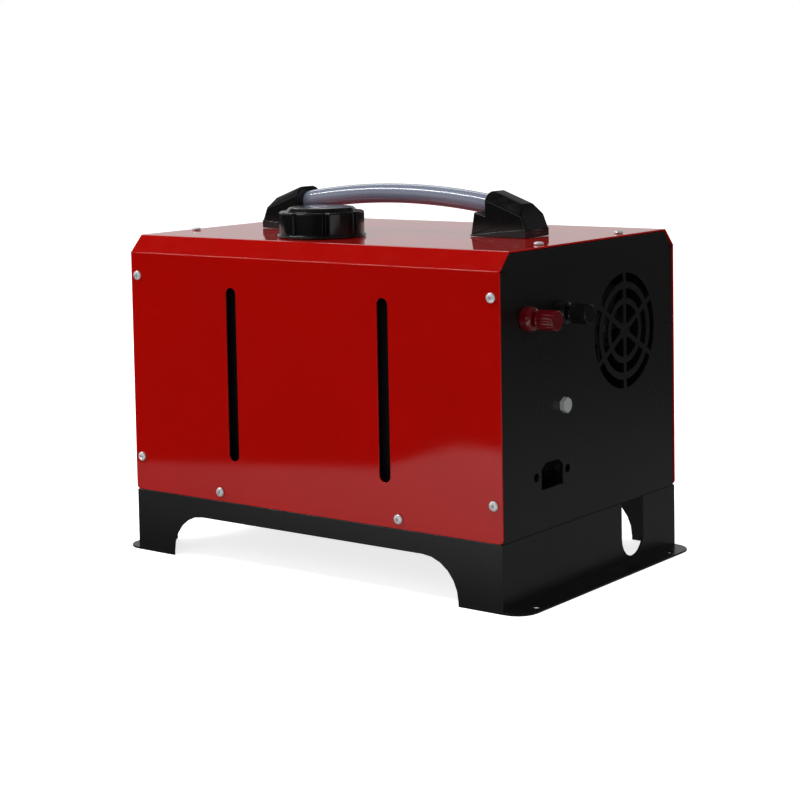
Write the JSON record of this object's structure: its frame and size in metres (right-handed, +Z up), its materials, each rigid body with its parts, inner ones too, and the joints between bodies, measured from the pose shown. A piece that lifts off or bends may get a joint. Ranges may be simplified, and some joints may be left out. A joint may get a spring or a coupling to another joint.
{
  "type": "diesel air heater",
  "caption": "Portable diesel air heater: folded red case on a black stand, carry handle, filler cap, terminals, fan grille, controller and warm-air outlet.",
  "frame": {"origin": "on the floor, under the middle of the case", "axes": "+X along the case from the outlet end to the terminal end, +Y from the front to the back, +Z up"},
  "size_m": [0.3929, 0.2406, 0.2818],
  "materials": {
    "red_paint": "glossy powder coat",
    "black_paint": "satin powder coat",
    "chrome_steel": "polished",
    "zinc_steel": "zinc plated",
    "brass": "bright",
    "bare_steel": "brushed",
    "cast_aluminium": "as cast",
    "gloss_black": "glossy",
    "matt_black": "satin",
    "red_plastic": "glossy, deep red",
    "grey_hose": "glossy blue-grey",
    "tank_plastic": "satin black",
    "rubber": "matt",
    "screen_glass": "dark clear window",
    "button_plastic": "satin"
  },
  "bodies": {
    "case": {"cover": "red_paint", "right_panel": "black_paint", "left_panel": "black_paint", "floor_pan": "black_paint", "stand": "black_paint", "handle_grip": "grey_hose", "handle_bracket_left": "gloss_black", "handle_bracket_right": "gloss_black", "fuel_tank": "tank_plastic", "terminal_collar_red": "red_plastic", "terminal_stud_red": "brass", "terminal_collar_black": "gloss_black", "terminal_stud_black": "brass", "earth_bolt": "zinc_steel", "controller_housing": "matt_black", "controller_screen": "screen_glass", "outlet_collar": "matt_black", "heater_lower_shell": "matt_black", "heater_upper_shell": "matt_black", "heat_exchanger": "cast_aluminium", "burner_tube": "bare_steel", "fan_motor": "bare_steel", "glow_plug": "bare_steel", "control_unit": "matt_black", "heater_saddle": "zinc_steel", "fuel_pump": "bare_steel", "pump_clamp": "rubber", "fuel_line_supply": "rubber", "fuel_line_feed": "rubber", "screw_front_left_high": "chrome_steel", "screw_front_left_low": "chrome_steel", "screw_front_left_inner": "chrome_steel", "screw_front_right_high": "chrome_steel", "screw_front_right_low": "chrome_steel", "screw_front_right_inner": "chrome_steel", "screw_back_left_high": "chrome_steel", "screw_back_left_low": "chrome_steel", "screw_back_left_inner": "chrome_steel", "screw_back_right_high": "chrome_steel", "screw_back_right_low": "chrome_steel", "screw_back_right_inner": "chrome_steel", "screw_top_left_front": "chrome_steel", "screw_top_left_rear": "chrome_steel", "screw_top_right_front": "chrome_steel", "screw_top_right_rear": "chrome_steel"},
    "fan_rotor": {"fan_shaft": "bare_steel", "warm_air_fan": "matt_black", "combustion_impeller": "matt_black"},
    "cap_seal": {"cap_gasket": "rubber"},
    "cap": {"tank_cap": "gloss_black"},
    "red_knob": {"terminal_knob_red": "red_plastic"},
    "black_knob": {"terminal_knob_black": "gloss_black"},
    "louvre": {"louvre_ring": "matt_black"},
    "slat_low": {"outlet_slat_1": "matt_black"},
    "slat_middle": {"outlet_slat_2": "matt_black"},
    "slat_high": {"outlet_slat_3": "matt_black"},
    "button_1": {"controller_button_1": "button_plastic"},
    "button_2": {"controller_button_2": "button_plastic"},
    "button_3": {"controller_button_3": "button_plastic"},
    "button_4": {"controller_button_4": "button_plastic"}
  },
  "joints": [
    {"name": "fan_spin", "type": "hinge", "parent": "case", "child": "fan_rotor", "pos_m": [0, 0.0457, 0.1746], "axis": [1, 0, 0], "continuous": true},
    {"name": "cap_lift", "type": "slide", "parent": "case", "child": "cap_seal", "axis": [0, 0, 1], "range_m": [0, 0.06]},
    {"name": "cap_turn", "type": "hinge", "parent": "cap_seal", "child": "cap", "pos_m": [-0.027, -0.061, 0.25], "axis": [0, 0, 1], "range_deg": [0, 540]},
    {"name": "red_knob_turn", "type": "hinge", "parent": "case", "child": "red_knob", "pos_m": [0.185, -0.0865, 0.1976], "axis": [1, 0, 0], "range_deg": [0, 1440]},
    {"name": "black_knob_turn", "type": "hinge", "parent": "case", "child": "black_knob", "pos_m": [0.185, -0.0445, 0.1976], "axis": [1, 0, 0], "range_deg": [0, 1440]},
    {"name": "louvre_turn", "type": "hinge", "parent": "case", "child": "louvre", "pos_m": [-0.185, 0.0457, 0.1746], "axis": [1, 0, 0], "range_deg": [-180, 180]},
    {"name": "slat_tilt", "type": "hinge", "parent": "louvre", "child": "slat_middle", "pos_m": [-0.185, 0.0457, 0.1746], "axis": [0, 1, 0], "range_deg": [-35, 35]},
    {"name": "slat_low_tilt", "type": "hinge", "parent": "louvre", "child": "slat_low", "pos_m": [-0.185, 0.0457, 0.1586], "axis": [0, 1, 0], "range_deg": [-35, 35]},
    {"name": "slat_high_tilt", "type": "hinge", "parent": "louvre", "child": "slat_high", "pos_m": [-0.185, 0.0457, 0.1906], "axis": [0, 1, 0], "range_deg": [-35, 35]},
    {"name": "button_1_press", "type": "slide", "parent": "case", "child": "button_1", "axis": [1, 0, 0], "range_m": [0, 0.0008], "stiffness_N_per_m": 1500},
    {"name": "button_2_press", "type": "slide", "parent": "case", "child": "button_2", "axis": [1, 0, 0], "range_m": [0, 0.0008], "stiffness_N_per_m": 1500},
    {"name": "button_3_press", "type": "slide", "parent": "case", "child": "button_3", "axis": [1, 0, 0], "range_m": [0, 0.0008], "stiffness_N_per_m": 1500},
    {"name": "button_4_press", "type": "slide", "parent": "case", "child": "button_4", "axis": [1, 0, 0], "range_m": [0, 0.0008], "stiffness_N_per_m": 1500}
  ],
  "couplings": [
    {"joint": "slat_low_tilt", "follows": "slat_tilt", "ratio": 1},
    {"joint": "slat_high_tilt", "follows": "slat_tilt", "ratio": 1}
  ]
}
